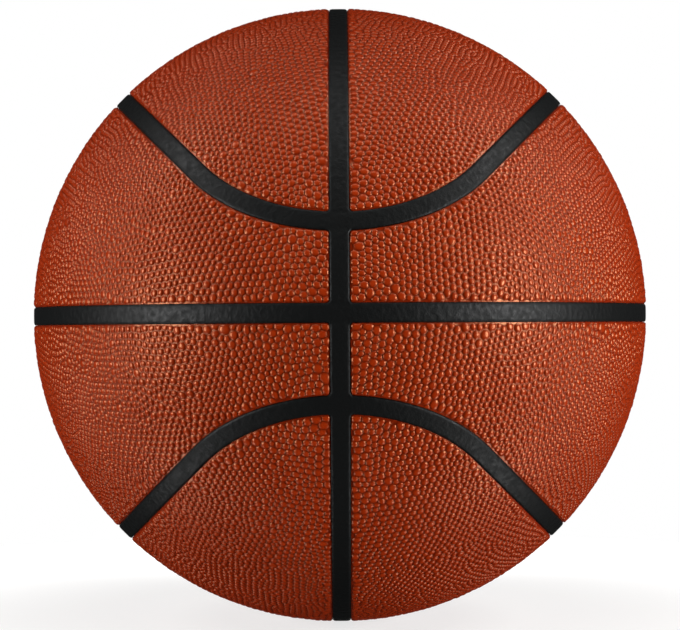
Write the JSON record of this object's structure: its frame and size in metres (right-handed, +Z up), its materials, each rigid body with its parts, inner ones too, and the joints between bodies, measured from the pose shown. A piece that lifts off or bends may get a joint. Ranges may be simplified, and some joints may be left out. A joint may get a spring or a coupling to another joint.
{
  "type": "basketball",
  "caption": "Air-filled basketball with pebbled leather panels, black channel strips laid between them, a wound carcass, a bladder and a needle valve.",
  "frame": {"origin": "centre of the ball", "axes": "+Z up; the channel crossing of the pictured side faces -Y; the valve is in the opposite crossing and points along +Y"},
  "size_m": [0.2402, 0.24, 0.2402],
  "materials": {
    "cover_leather": "pebbled, satin",
    "channel_rubber": "satin",
    "carcass_rubber": "matt sponge rubber",
    "winding_thread": "matt nylon thread",
    "bladder_rubber": "smooth",
    "valve_rubber": "smooth"
  },
  "bodies": {
    "ball": {"upper_cap_left": "cover_leather", "upper_cap_right": "cover_leather", "upper_band_left": "cover_leather", "upper_band_right": "cover_leather", "lower_cap_left": "cover_leather", "lower_cap_right": "cover_leather", "lower_band_left": "cover_leather", "lower_band_right": "cover_leather", "meridian_strip": "channel_rubber", "equator_strip_left": "channel_rubber", "equator_strip_right": "channel_rubber", "upper_loop_strip_left": "channel_rubber", "upper_loop_strip_right": "channel_rubber", "lower_loop_strip_left": "channel_rubber", "lower_loop_strip_right": "channel_rubber", "carcass_front": "carcass_rubber", "carcass_rear": "carcass_rubber", "thread_winding": "winding_thread", "bladder": "bladder_rubber", "valve_housing": "valve_rubber"},
    "valve_core": {"valve_core": "valve_rubber"}
  },
  "joints": [
    {"name": "valve_core_slide", "type": "slide", "parent": "ball", "child": "valve_core", "axis": [0, 1, 0], "range_m": [0, 0.022]}
  ]
}
